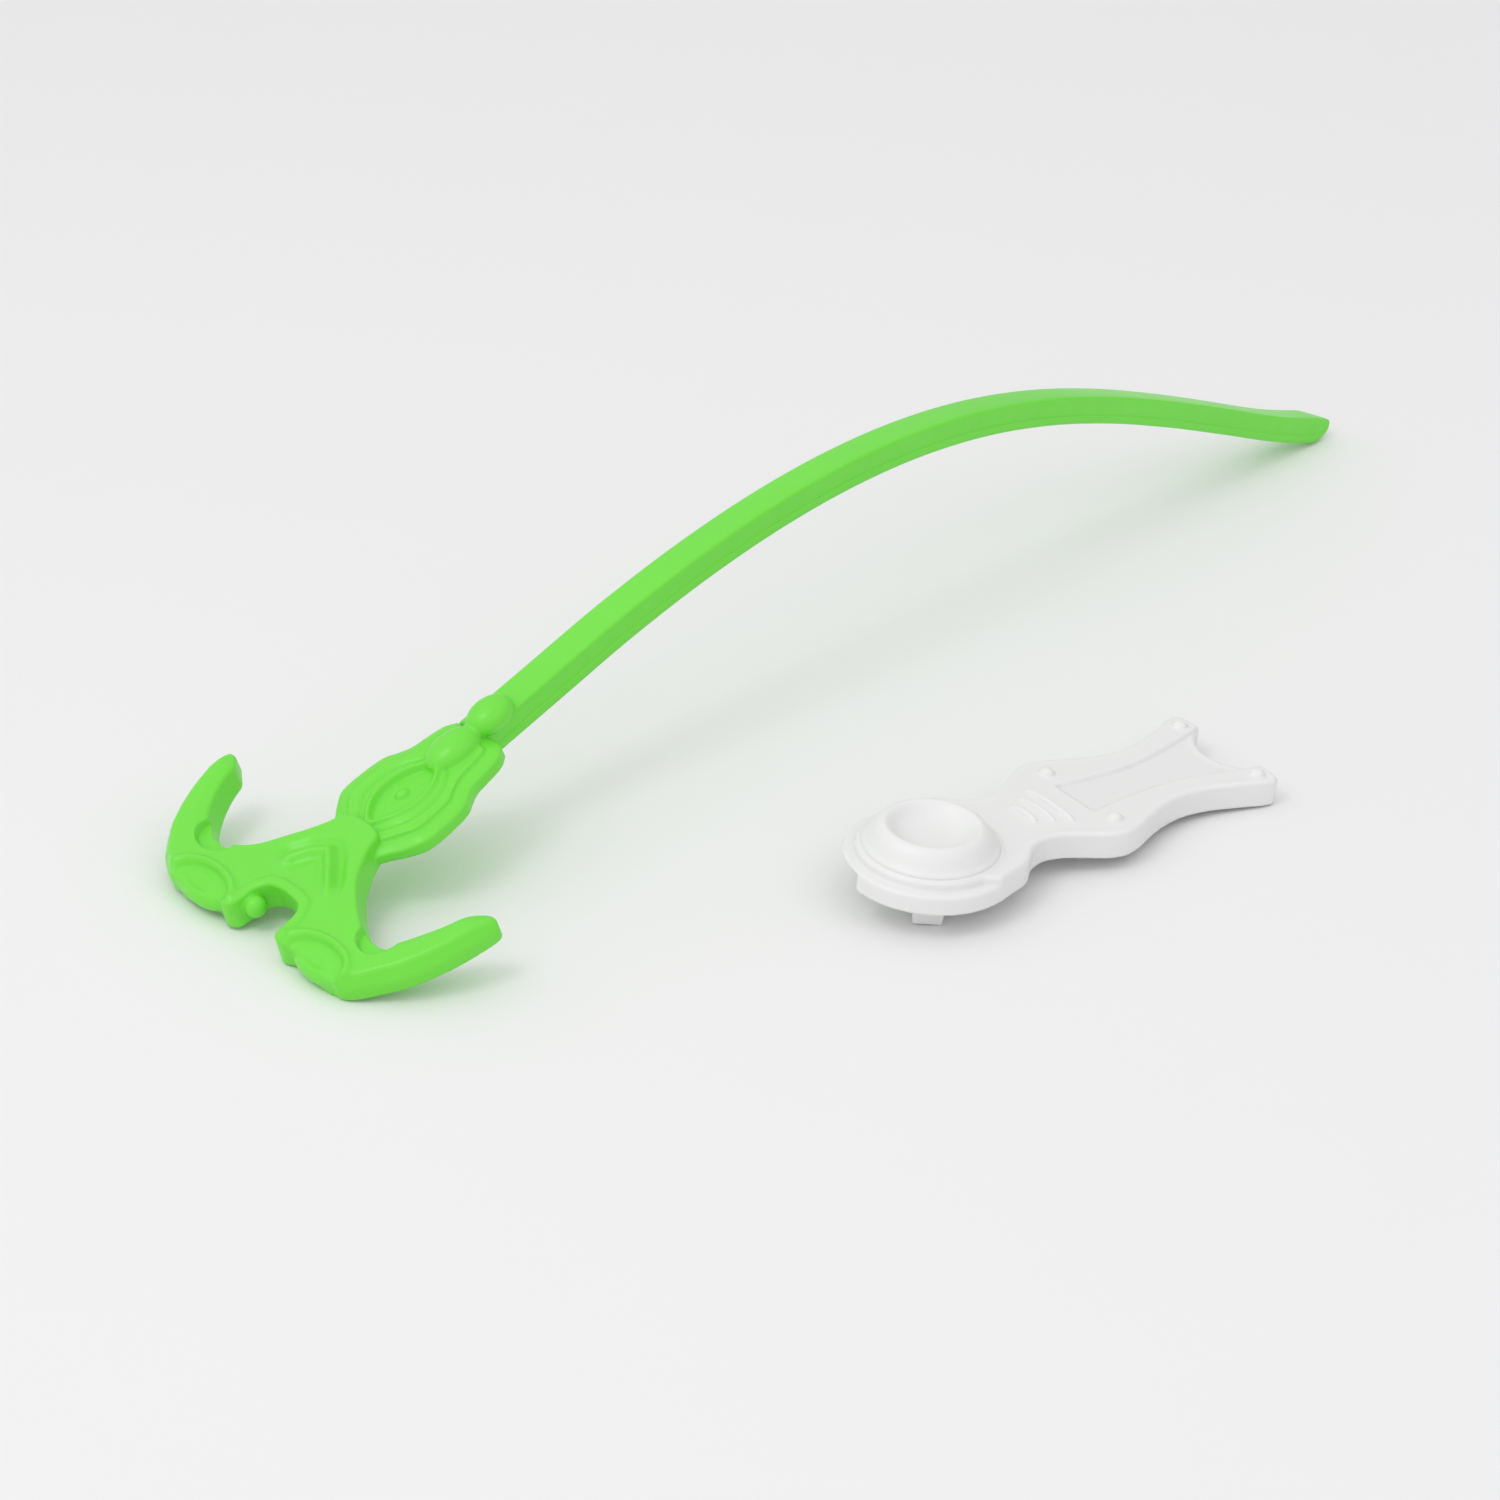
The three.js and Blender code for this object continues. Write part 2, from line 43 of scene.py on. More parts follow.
# ---- dimensions shared with the CAD part, in mm ----------------------------------------------
CENTRE = np.array([161.72, -31.28, 0.0])
CASE_T, FLANGE_R, FLANGE_T, PLATE_R = 5.6, 17.0, 4.0, 14.6
WALL, ROOF, DISC_CAVITY_R, GAP = 1.5, 1.2, 13.2, 0.3
HANDLE = [
    (4.2, 16.47), (8.5, 15.3), (12, 14.3), (14.2, 13.1), (15.8, 11.6), (17.8, 10.2), (21.3, 9.25),
    (25.3, 9.95), (29.4, 12.1), (33.4, 14.5), (36, 15.35), (38.3, 15.5), (42, 14.6), (47.4, 12.35),
    (53.2, 10.6), (58.6, 10.15), (64, 10.95), (69.9, 12.9), (74.6, 14.7), (77.2, 15.3)]
TAIL_END = [(78.6, 14.6), (79.2, 12.4), (79.2, 9.1)]
NOTCH_X, NOTCH_R, NOTCH_HALF = 83.1, 9.9, 9.1
PANEL_DEPTH = 0.75
PANEL = [(36.7, 5.0), (37.6, 5.8), (44, 5.1), (54.9, 4.6), (66, 6.2), (82, 10.2)]
RIBS = [(30.6, 7.4), (27.2, 5.6), (23.8, 3.8)]
RIB_WIDTH, RIB_HEIGHT = 1.2, 1.0
STUDS = [(38.5, 10.2), (75.8, 11.4)]
STUD_R, STUD_H = 1.6, 1.15
CAP_R, CAP_RECESS = 13.5, 0.4
CAP = [
    (0, 7.7), (3, 7.75), (5, 8.0), (6.6, 8.6), (7.6, 9.3), (8.4, 10.0), (9.3, 10.4),
    (10.3, 10.05), (11.2, 9.2), (12, 8.0), (12.7, 6.9), (13.5, 6.3)]
BOSS_R, BOSS_BORE, BOSS_BOTTOM = 4.0, 3.3, 4.0
CHANNEL_TURN, CHANNEL_IN, CHANNEL_OUT, CHANNEL_TOP = math.radians(19), 6.6, 14.6, 3.5
SCREW_BORE = 1.15
HUB_R, HUB_TOP, HUB_BOTTOM, BAR_TOP = 6.4, -1.2, -3.9, -2.8
PRONG_R, PRONG_T, PRONG_W, PRONG_BOTTOM = 11.5, 3.0, 6.0, -5.4
HUB_TURN = math.radians(-127.3)
HUB_BORE, HUB_SINK = 1.35, 2.45
LAUNCHER = {"x": 100.8, "y": -78.1, "z": 5.6047, "heading": -8.4, "tilt": 3.42, "roll": 2.59}

GRIP_T, SHAFT_TOP, SHAFT_BOTTOM = 5.6, 4.6, 0.6
GRIP_TILT, GRIP_YAW, GRIP_PIVOT = math.radians(20), math.radians(-3), 50.0
GRIP_AT = (-0.3, -1.4, 6.7)
CROWN = [
    (6.2, 2.2), (5.6, 4.2), (3.4, 5.6), (0.4, 5.9), (-2.2, 6.4), (-3, 8.4), (-2.2, 10.6),
    (-1.8, 12.5), (-2.9, 17.5), (-3.1, 23), (-3, 26.6), (-0.3, 31), (5, 35.8), (9.7, 38.5),
    (14.5, 40.5), (19.6, 41.9), (24.0, 42.6), (25.6, 41.4), (25.5, 39.2), (23.2, 37.0),
    (18.2, 35), (13, 31.9), (9.8, 29), (8.3, 25.7), (8.2, 22.4), (9.2, 19.1), (12, 15),
    (17.3, 10.4), (22.0, 7.3), (24.8, 6.0), (26.8, 5.2), (27.8, 2.6)]
ARM_OUTSIDE = [
    (-40, 10), (-3, 26.6), (-0.3, 31), (5, 35.8), (9.7, 38.5), (14.5, 40.5), (19.6, 41.9),
    (24.0, 42.7), (28, 43.2), (60, 45), (60, 0), (-40, 0)]
NOTCH_EDGE = [(-8, 6.3), (-2.2, 6.4), (0.4, 5.9), (3.4, 5.6), (5.6, 4.2), (6.2, 2.2)]
SHAFT = [
    (20, 6), (23, 6.6), (26, 8.6), (28.6, 10.9), (32, 12.9), (37.5, 13.1), (42.4, 12.5), (45, 11),
    (47.6, 9.7), (51.5, 9.1), (55, 8.4), (57.4, 6.8)]
BEADS = [(51, 4.5, 6.4, 4.3, 3.3), (61.2, 5.4, 5.4, 4.0, 3.2)]
CHEVRON = [(18.6, 0.0), (16.2, 3.1), (13.3, 5.4), (9.6, 7.0)]

STRIP_Y, STRIP_START, STRIP_END = -0.5, 58.0, 326.6
STRIP_W, STRIP_H, WEB, TOP_T, LIP, LIP_H = 7.6, 6.1, 2.4, 1.3, 0.35, 1.9
ARCH_FROM, ARCH_LENGTH = 71.57, 256.7
ARCH_Z = [28.05, 34.86, 40.32, 44.21, 46.32, 46.45, 44.41, 40.13, 33.85, 26.02, 17.4, 9.1, 2.3]
TOOTH_PITCH, TOOTH_FIRST, TOOTH_COUNT = math.pi * 2.2 * 0.985, 74.0, 36
TOOTH_DEPTH, TOOTH_ROOT, TOOTH_TIP, TOOTH_BOTTOM = 4.4, 4.5, 2.1, -2.3

# ---- dimensions that only the looks have, in mm ------------------------------------------------
STRIP_FIRST = 54.0  # inside the grip's collar
TIP_SETTLE, TIP_SETTLE_OVER = 1.0, 50.0  # the tip lies lower, as its lower corner is cut away
TIP_LOWER_CUT, TIP_LOWER_CUT_OVER = 3.4, 6.0
TIP_FAR_CUT, TIP_FAR_CUT_OVER = 0.72, 3.8  # the share of the width that the far corner loses
TIP_ROUNDING = 0.8
TOOTH_SCAR = 0.15  # how far the far side stands out between the teeth
CHAMFER_ANGLE, CHAMFER_IN = 0.93, 1.65


# ---- fields: negative inside, in mm ------------------------------------------------------------
def cubic(a, b, c, d, f):
    """The Catmull-Rom value at f, between b at 0 and c at 1."""
    return 0.5 * (
        2 * b + (c - a) * f + (2 * a - 5 * b + 4 * c - d) * f**2 + (3 * b - a - 3 * c + d) * f**3)


def catmull(points, count):
    """An open Catmull-Rom curve through points, sampled evenly in its parameter."""
    p = np.array(points, float)
    p = np.vstack([2 * p[0] - p[1], p, 2 * p[-1] - p[-2]])
    t = np.linspace(0, len(points) - 1, count + 1)
    i = np.minimum(t.astype(int), len(points) - 2)
    f = (t - i)[:, None]
    return cubic(p[i], p[i + 1], p[i + 2], p[i + 3], f)


def mirrored(half):
    """A closed outline from its half with y above 0."""
    half = np.array(half, float)
    return np.vstack([half, half[::-1] * [1, -1]])


def polygon(x, y, points):
    """Signed distance to a closed polygon, for arrays x and y of one shape."""
    x, y = np.broadcast_arrays(x, y)
    shape, x, y = x.shape, x.ravel(), y.ravel()
    best = np.full(x.size, 1e18)
    inside = np.zeros(x.size, bool)
    for (ax, ay), (bx, by) in zip(points, np.roll(points, -1, 0)):
        ex, ey = bx - ax, by - ay
        wx, wy = x - ax, y - ay
        t = np.clip((wx * ex + wy * ey) / max(ex * ex + ey * ey, 1e-12), 0, 1)
        best = np.minimum(best, (wx - t * ex) ** 2 + (wy - t * ey) ** 2)
        if ay != by:
            inside ^= ((ay > y) != (by > y)) & (x < ax + (y - ay) * ex / ey)
    d = np.sqrt(best)
    return np.where(inside, -d, d).reshape(shape)


def polyline(x, y, points):
    """Distance to an open chain of points."""
    best = 1e9
    for (ax, ay), (bx, by) in zip(points[:-1], points[1:]):
        ex, ey = bx - ax, by - ay
        t = np.clip(((x - ax) * ex + (y - ay) * ey) / (ex * ex + ey * ey), 0, 1)
        best = np.minimum(best, np.hypot(x - ax - t * ex, y - ay - t * ey))
    return best


def rounded(u, v, r):
    """Both u and v negative, with the edge between them rounded to radius r."""
    u, v = u + r, v + r
    return np.minimum(np.maximum(u, v), 0) + np.hypot(np.maximum(u, 0), np.maximum(v, 0)) - r


def soft_min(a, b, k):
    """The union of two solids, blended over a width of about k."""
    h = np.clip(0.5 + 0.5 * (b - a) / k, 0, 1)
    return b + (a - b) * h - k * h * (1 - h)


def soft_max(a, b, k):
    """What two solids share, with the edge between them softened by k."""
    return -soft_min(-a, -b, k)


def step(x, lo, hi):
    """0 up to lo, 1 from hi, and smooth between them."""
    t = np.clip((x - lo) / (hi - lo), 0, 1)
    return t * t * (3 - 2 * t)


def bell(x, width):
    """1 at 0, falling smoothly to nothing over about two widths."""
    return np.exp(-((x / width) ** 2))


def ellipsoid(x, y, z, centre, radii):
    """Close to the signed distance of an ellipsoid."""
    q = [(v - c) / r for v, c, r in zip((x, y, z), centre, radii)]
    k0 = np.sqrt(q[0] ** 2 + q[1] ** 2 + q[2] ** 2)
    k1 = np.sqrt(sum((v / r) ** 2 for v, r in zip(q, radii)))
    return k0 * (k0 - 1) / np.maximum(k1, 1e-6)


def slab(field, z, z0, z1, r, foot):
    """An outline between z0 and z1, its upper edge rounded to r and its lower edge to foot."""
    return rounded(rounded(field, z - z1, r), z0 - z, foot)


def surface_nets(field, low, high, cell):
    """Vertices and quads of the surface field = 0, its vertices moved onto the field."""
    low, high = np.array(low, float), np.array(high, float)
    n = np.ceil((high - low) / cell).astype(int) + 1
    x, y, z = (low[k] + cell * np.arange(n[k]) for k in range(3))
    f = field(x[:, None, None], y[None, :, None], z[None, None, :]) * np.ones(n)
    solid = f < 0
    corners = [(i, j, k) for i in (0, 1) for j in (0, 1) for k in (0, 1)]
    cut = [slice(0, -1), slice(1, None)]
    count = sum(solid[cut[i], cut[j], cut[k]].astype(int) for i, j, k in corners)
    mixed = (count > 0) & (count < 8)
    index = np.full(mixed.shape, -1)
    index[mixed] = np.arange(mixed.sum())
    where = np.argwhere(mixed)
    total, hits = np.zeros((len(where), 3)), np.zeros(len(where))
    for a in corners:
        for axis in range(3):
            if a[axis]:
                continue
            b = list(a)
            b[axis] = 1
            fa = f[tuple((where + a).T)]
            fb = f[tuple((where + b).T)]
            crossed = (fa < 0) != (fb < 0)
            t = np.where(crossed, fa / np.where(crossed, fa - fb, 1), 0)
            p = np.array(a, float) + np.zeros((len(where), 3))
            p[:, axis] += t
            total += p * crossed[:, None]
            hits += crossed
    verts = low + cell * (where + total / hits[:, None])
    faces = []
    for axis in range(3):
        u, v = [k for k in range(3) if k != axis]
        ahead = [slice(None)] * 3
        ahead[axis] = slice(1, None)
        behind = [slice(None)] * 3
        behind[axis] = slice(0, -1)
        a, b = solid[tuple(behind)], solid[tuple(ahead)]
        for flip, change in ((False, a & ~b), (True, ~a & b)):
            e = np.argwhere(change)
            e = e[(e[:, u] > 0) & (e[:, v] > 0) & (e[:, u] < n[u] - 1) & (e[:, v] < n[v] - 1)]
            quad = []
            for du, dv in ((-1, -1), (0, -1), (0, 0), (-1, 0)):
                c = e.copy()
                c[:, u] += du
                c[:, v] += dv
                quad.append(index[tuple(c.T)])
            quad = np.stack(quad, 1)
            if flip != (axis == 1):
                quad = quad[:, ::-1]
            faces.append(quad)
    faces = np.vstack(faces)
    h, most = 0.02, 0.3 * cell
    for _ in range(3):
        px, py, pz = verts.T
        value = field(px, py, pz)
        grad = np.stack([
            field(px + h, py, pz) - field(px - h, py, pz),
            field(px, py + h, pz) - field(px, py - h, pz),
            field(px, py, pz + h) - field(px, py, pz - h)], 1) / (2 * h)
        size = np.maximum((grad**2).sum(1), 0.25)
        move = -value[:, None] * grad / size[:, None]
        verts = verts + np.clip(move, -most, most)
    return verts, faces


def make(name, verts, faces, matrix):
    """A mesh object from vertices in mm, placed by a 3x4 matrix in mm."""
    v = (verts @ matrix[:, :3].T + matrix[:, 3]) * MM
    mesh = bpy.data.meshes.new(name)
    mesh.from_pydata(v.tolist(), [], [tuple(int(i) for i in f) for f in faces])
    mesh.validate()
    mesh.shade_smooth()
    o = bpy.data.objects.new(name, mesh)
    bpy.context.scene.collection.objects.link(o)
    return o


def rotation(axis, angle):
    """The 3x3 matrix of a turn about one axis."""
    c, s = math.cos(angle), math.sin(angle)
    return np.array({
        "x": [[1, 0, 0], [0, c, -s], [0, s, c]],
        "y": [[c, 0, s], [0, 1, 0], [-s, 0, c]],
        "z": [[c, -s, 0], [s, c, 0], [0, 0, 1]]}[axis], float)


# ---- the arched centre line of the strip --------------------------------------------------------
def arch(x):
    """Height and slope of the centre line at x, straight before the first knot."""
    step_x = ARCH_LENGTH / (len(ARCH_Z) - 1)
    z = np.array([2 * ARCH_Z[0] - ARCH_Z[1], *ARCH_Z, 2 * ARCH_Z[-1] - ARCH_Z[-2]])

    def height(q):
        t = (q - ARCH_FROM) / step_x
        i = int(np.clip(math.floor(t), 0, len(ARCH_Z) - 2))
        f = t - i
        return cubic(*z[i:i + 4], f)

    q = max(x, ARCH_FROM)
    ahead, behind = min(q + 2, ARCH_FROM + ARCH_LENGTH), max(q - 2, ARCH_FROM)
    slope = math.atan2(height(ahead) - height(behind), ahead - behind)
    back = min(x - ARCH_FROM, 0)
    return q + back * math.cos(slope), height(q) + back * math.sin(slope), slope


def lowest_of_strip():
    line = map(arch, np.linspace(STRIP_START, STRIP_END, 65))
    return min(z - STRIP_H / 2 * math.cos(slope) for _, z, slope in line)


DROP = lowest_of_strip()


def placement(turn, at):
    """A 3x4 matrix: a turn, then a move."""
    return np.hstack([turn, (np.array(at, float))[:, None]])


def launcher_placement():
    turn = (
        rotation("z", math.radians(LAUNCHER["heading"]))
        @ rotation("y", math.radians(LAUNCHER["tilt"]))
        @ rotation("x", math.radians(LAUNCHER["roll"])))
    return placement(turn, np.array([LAUNCHER["x"], LAUNCHER["y"], LAUNCHER["z"]]) - CENTRE)


def grip_placement():
    tilt = rotation("y", -GRIP_TILT)
    lift = tilt @ np.array([0, 0, GRIP_T])
    pivot = np.array([GRIP_PIVOT, 0, 0])
    turn = tilt @ rotation("z", GRIP_YAW)
    at = np.array([GRIP_AT[0] - lift[0], GRIP_AT[1], GRIP_AT[2] - lift[2]])
    at = at + tilt @ pivot - turn @ pivot
    return placement(turn, at - CENTRE - [0, 0, DROP])


# ---- the grip, in its own frame: a along it from the notch, b across, c up ----------------------
def opened(half, first, last, samples):
    """A closed outline from a curved half and its two points near the middle line."""
    curve = catmull(half, samples)
    return mirrored(np.vstack([[first], curve, [last]]))


crown_outline = opened(CROWN, (6.4, 0.4), (28.0, 0.6), 110)
shaft_outline = mirrored(np.vstack([[(20, 0.5)], catmull(SHAFT, 44), [(58, 5.5), (58, 0.5)]]))
arm_outside = np.array(ARM_OUTSIDE, float)
notch_edge = mirrored(NOTCH_EDGE)


def crown_top(a, b, side, crown, arms):
    """Height of the crown's top with its relief; arms is 1 on the two arms and 0 elsewhere."""
    notch = polygon(a, b, notch_edge)
    eye_x, eye_y, eye_size = (a + 1.8) / 4.7, (side - 17.5) / 8.6, 5.2
    rho = np.hypot(eye_x, eye_y)
    eye_rim = 0.75 * bell((rho - 1.08) * eye_size, 0.7) * step(a, -2.6, -0.6)
    eye = -0.95 * step(1 - rho, 0.03, 0.2)
    notch_rim = 0.6 * (1 - step(notch, 1.7, 2.9)) * step(-a, -12, -9)
    notch_rim = notch_rim * (1 - step(side, 9.0, 11.5))

    # a folded ridge with a shallow valley inside it and a deeper one outside
    fold = polyline(a, side, CHEVRON)
    within = polygon(a, side, np.array([CHEVRON[0], *CHEVRON[1:], (4, 9.0), (4, 0)], float)) < 0
    along = step(a, 9.0, 13.0)
    chevron = 0.9 * bell(fold, 1.0) * along
    valley = -0.35 * bell(fold - 2.1, 0.9) * along * within
    shoulder = -0.95 * bell(fold - 2.3, 1.3) * step(a, 10.5, 15.0) * ~within

    crescent = np.hypot((a - 9.4) / 1.05, (side - 24.6) / 1.25)
    pocket = -1.9 * (1 - step(crescent, 3.9, 4.4))
    top = GRIP_T + eye_rim + eye + notch_rim + chevron + valley + shoulder + pocket

    inner_fall = 0.5 * arms * step(-crown, 0.0, 2.6)
    tip_fall = 1.1 * arms * step(a, 20, 26.5)
    return top - 0.5 * arms + inner_fall - tip_fall


def shaft_top(a, b, side, shaft):
    """Height of the shaft's top: a terraced border, a raised oval, its well and the pip in it."""
    middle = 37.5
    oval = (np.hypot((a - middle) / 9.4, b / 5.2) - 1) * 5.6
    pointed = soft_max(oval, (side + 0.055 * (a - middle) ** 2 - 5.2) * 0.9, 0.8)
    border = -0.75 * step(shaft, -3.2, -2.75) - 0.35 * np.maximum(1.8 + shaft, 0)
    second = -0.4 * bell(pointed - 2.3, 0.42)
    rim = 0.85 * bell(pointed, 0.62)
    well = -0.75 * step(-pointed, 0.4, 1.3)
    pip = 0.8 * (1 - step(np.hypot((a - 37.4) / 1.2, b - 0.2), 0.7, 1.5))
    neck = -0.55 * (1 - step(a, 27, 32))
    return SHAFT_TOP + neck + border + second + rim + well + pip


def grip_field(a, b, c):
    lean = (1.1 + 1.1 * step(-b, 2, 8)) * (1 - step(np.abs(b), 24, 34)) * (1 - step(a, 9, 18))
    b = b + lean  # the crown's front half leans to the near side
    side = np.abs(b)
    crown = polygon(a, b, crown_outline)
    shaft = polygon(a, b, shaft_outline)
    outside = polygon(a, side, arm_outside)
    arms = step(side, 26, 31)
    top = crown_top(a, b, side, crown, arms)

    inner_side = step(-outside, 2.2, 3.6) * (1 - arms * step(a, 22, 25))
    draft = (0.09 + 0.16 * arms) * (GRIP_T - c) * inner_side
    body = rounded(crown - draft, c - top, 0.7)
    across, out = c - top, outside + CHAMFER_IN
    chamfer = across * math.cos(CHAMFER_ANGLE) + out * math.sin(CHAMFER_ANGLE)
    body = soft_max(body, np.where(side > 24, chamfer, -5.0), 0.5)
    body = rounded(body, -c, 0.35)

    lens = ellipsoid(a, side, c, (-1.5, 17.6, 2.5), (2.7, 6.9, 2.75))
    body = soft_min(body, lens, 0.5)
    dish = ellipsoid(a, side, c, (-1.3, 17.5, 6.1), (2.3, 6.1, 1.9))
    body = soft_max(body, -dish, 0.3)

    plate = rounded(shaft - 0.05 * (4 - c), c - shaft_top(a, b, side, shaft), 0.45)
    body = soft_min(body, rounded(plate, SHAFT_BOTTOM - c, 0.3), 0.25)
    for at, height, ra, rb, rc in BEADS:
        body = soft_min(body, ellipsoid(a, b, c, (at, 0, height), (ra, rb, rc)), 0.7)
    knob = ellipsoid(a, b, c, (1.6, 4.6, 3.1), (2.2, 2.2, 2.2))
    return soft_min(body, knob, 0.4)


GRIP_MATRIX = grip_placement()
GRIP_CELL = 0.38
grip_mesh = surface_nets(grip_field, (-6.2, -45, -1), (68, 45, 10), GRIP_CELL)
grip = make("ripcord_grip_looks", *grip_mesh, GRIP_MATRIX)


# ---- the strip ----------------------------------------------------------------------------------
def towards_end(x, length):
    """0 up to length before the strip's end, rising evenly to 1 at the end."""
    return min(max((x - (STRIP_END - length)) / length, 0), 1)


def strip_section(tooth, x):
    """The section at x from the near bottom corner, up and over the top, and down the far side."""
    w, h = STRIP_W / 2, STRIP_H / 2
    near, web, far = -w, -w + WEB, -w + WEB + tooth
    under = h - TOP_T
    lip = -h + LIP_H
    end = towards_end(x, TIP_ROUNDING)
    q = 0.4 * end**2
    sink = 0.05 * math.cos(2 * math.pi * (x - TOOTH_FIRST) / TOOTH_PITCH)
    toe = far - 0.1 * min(tooth, 1)
    section = [
        (near - LIP + q, -h + 0.25), (near - 0.16 + q, lip - 0.18), (near - 0.12 + q, lip - 0.06),
        (near + 0.04 + q, lip + 0.02), (near + 0.08 + q, lip + 0.2),
        (near + 0.08 + sink + q, -0.35), (near + 0.06 + sink + q, 0.5 * h),
        (near + q, h - 0.75), (near + 0.07 + q, h - 0.4), (near + 0.22 + q, h - 0.17),
        (near + 0.5 + q, h - 0.04), (near + 0.9 + q, h), (-1.2, h + 0.02), (1.2, h + 0.02),
        (w - 0.75 - q, h), (w - 0.35 - q, h - 0.08), (w - 0.1 - q, h - 0.32), (w - q, h - 0.6),
        (w - q, under + 0.15), (w - 0.15 - q, under), (far + 0.35, under), (far, under - 0.25),
        (far, 0.3), (far, TOOTH_BOTTOM + 0.3), (toe, TOOTH_BOTTOM + 0.08),
        (web + 0.05, TOOTH_BOTTOM), (web, TOOTH_BOTTOM - 0.2), (web, -h + 0.25),
        (web - 0.25, -h), (near - LIP + 0.25 + q, -h)]

    # the tip: its lower corner and its far corner are cut away, and its end is rounded
    tip = towards_end(x, TIP_LOWER_CUT_OVER)
    top = h - 0.4 * tip**2 - 0.5 * end**2
    low = -h + TIP_LOWER_CUT * tip**2 + 0.5 * end**2
    squash = (top - low) / STRIP_H
    narrow = 1 - TIP_FAR_CUT * towards_end(x, TIP_FAR_CUT_OVER) - 0.1 * end**2
    return [(near + (y - near) * narrow, top - (h - z) * squash) for y, z in section]


def tooth_profile(x):
    """How far the far side stands out from the web at x."""
    k = round((x - TOOTH_FIRST) / TOOTH_PITCH)
    if not 0 <= k < TOOTH_COUNT:
        return TOOTH_SCAR
    off = abs(x - TOOTH_FIRST - k * TOOTH_PITCH)
    t = (TOOTH_ROOT / 2 - off) / ((TOOTH_ROOT - TOOTH_TIP) / 2)
    return TOOTH_SCAR + (TOOTH_DEPTH - TOOTH_SCAR) * min(max(t, 0), 1)


def strip_stations():
    """Where along the strip its sections stand: close round each tooth and at the tip."""
    root, crest, mid_gap, flank = TOOTH_ROOT / 2, TOOTH_TIP / 2, 3.3, 1.6
    round_tooth = (
        -mid_gap, -root - 0.02, -root + 0.2, -flank, -crest - 0.1, -crest + 0.1, 0,
        crest - 0.1, crest + 0.1, flank, root - 0.2, root + 0.02)
    xs = [STRIP_FIRST + i for i in range(17)]
    for k in range(TOOTH_COUNT):
        xs += [TOOTH_FIRST + k * TOOTH_PITCH + off for off in round_tooth]
    last = TOOTH_FIRST + (TOOTH_COUNT - 1) * TOOTH_PITCH + mid_gap
    xs += list(np.arange(last, STRIP_END - 0.9, 0.8))
    xs += [STRIP_END - v for v in (0.8, 0.5, 0.3, 0.15, 0.0)]
    xs = sorted(set(round(v, 3) for v in xs if STRIP_FIRST <= v <= STRIP_END))
    return [x for i, x in enumerate(xs) if i == 0 or x - xs[i - 1] > 0.12 or x == xs[-1]]


def build_strip():
    verts, faces = [], []
    stations = strip_stations()
    for x in stations:
        cx, cz, slope = arch(x)
        cz -= TIP_SETTLE * float(step(x, STRIP_END - TIP_SETTLE_OVER, STRIP_END))
        for y, z in strip_section(tooth_profile(x), x):
            verts.append((cx - z * math.sin(slope), STRIP_Y + y, cz + z * math.cos(slope)))
    n = len(strip_section(0, 100))
    for i in range(len(stations) - 1):
        for j in range(n):
            k = (j + 1) % n
            faces.append((i * n + j, i * n + k, (i + 1) * n + k, (i + 1) * n + j))
    faces.append(tuple(range(n))[::-1])
    faces.append(tuple((len(stations) - 1) * n + j for j in range(n)))
    return np.array(verts), faces


strip_verts, strip_faces = build_strip()
strip_matrix = placement(np.eye(3), -CENTRE - [0, 0, DROP])
strip = make("ripcord_strip_looks", strip_verts, strip_faces, strip_matrix)


# ---- the launcher, in its own frame: the disc's axis is z, the handle runs along x --------------
def handle_outline():
    reach, pieces = math.asin(NOTCH_HALF / NOTCH_R), 8
    turns = [reach * (1 - i / pieces) for i in range(1, pieces + 1)]
    arc = [(NOTCH_X - NOTCH_R * math.cos(t), NOTCH_R * math.sin(t)) for t in turns]
    return mirrored(np.vstack([[(-4, 12)], catmull(HANDLE, 64), TAIL_END, arc]))


handle = handle_outline()
panel = mirrored(catmull(PANEL, 24))


def turned(x, y, angle):
    """Coordinates along and across a direction that makes the angle with x."""
    c, s = math.cos(angle), math.sin(angle)
    return x * c + y * s, -x * s + y * c


def shell_outside(x, y, z, r, side, edge):
    """The upper shell as a full solid: flange, plate, handle, ring, ribs and studs."""
    ring = rounded(r - FLANGE_R, z - FLANGE_T, 0.6)
    plate = rounded(r - PLATE_R, z - CASE_T, 0.55)
    top = CASE_T - PANEL_DEPTH * (1 - step(polygon(x, y, panel), -0.45, 0.05))
    top = top + 0.12 * bell(edge + 0.9, 0.7)
    handle_body = rounded(edge, z - top, 0.7)
    foot_ring = rounded(np.abs(r - CAP_R + 0.2) - 0.75, z - CASE_T - 0.35, 0.3)
    body = soft_min(soft_min(soft_min(ring, plate, 0.5), handle_body, 0.35), foot_ring, 0.3)
    body = rounded(body, -z, 0.25)
    for at, half in RIBS:
        size = (RIB_WIDTH / 2 + 0.1, half, RIB_HEIGHT + 0.1)
        body = soft_min(body, ellipsoid(x, y, z, (at, 0, CASE_T - 0.05), size), 0.2)
    for at, off in STUDS:
        size = (STUD_R, STUD_R, STUD_H + 0.1)
        body = soft_min(body, ellipsoid(x, side, z, (at, off, CASE_T - 0.1), size), 0.15)
    return body


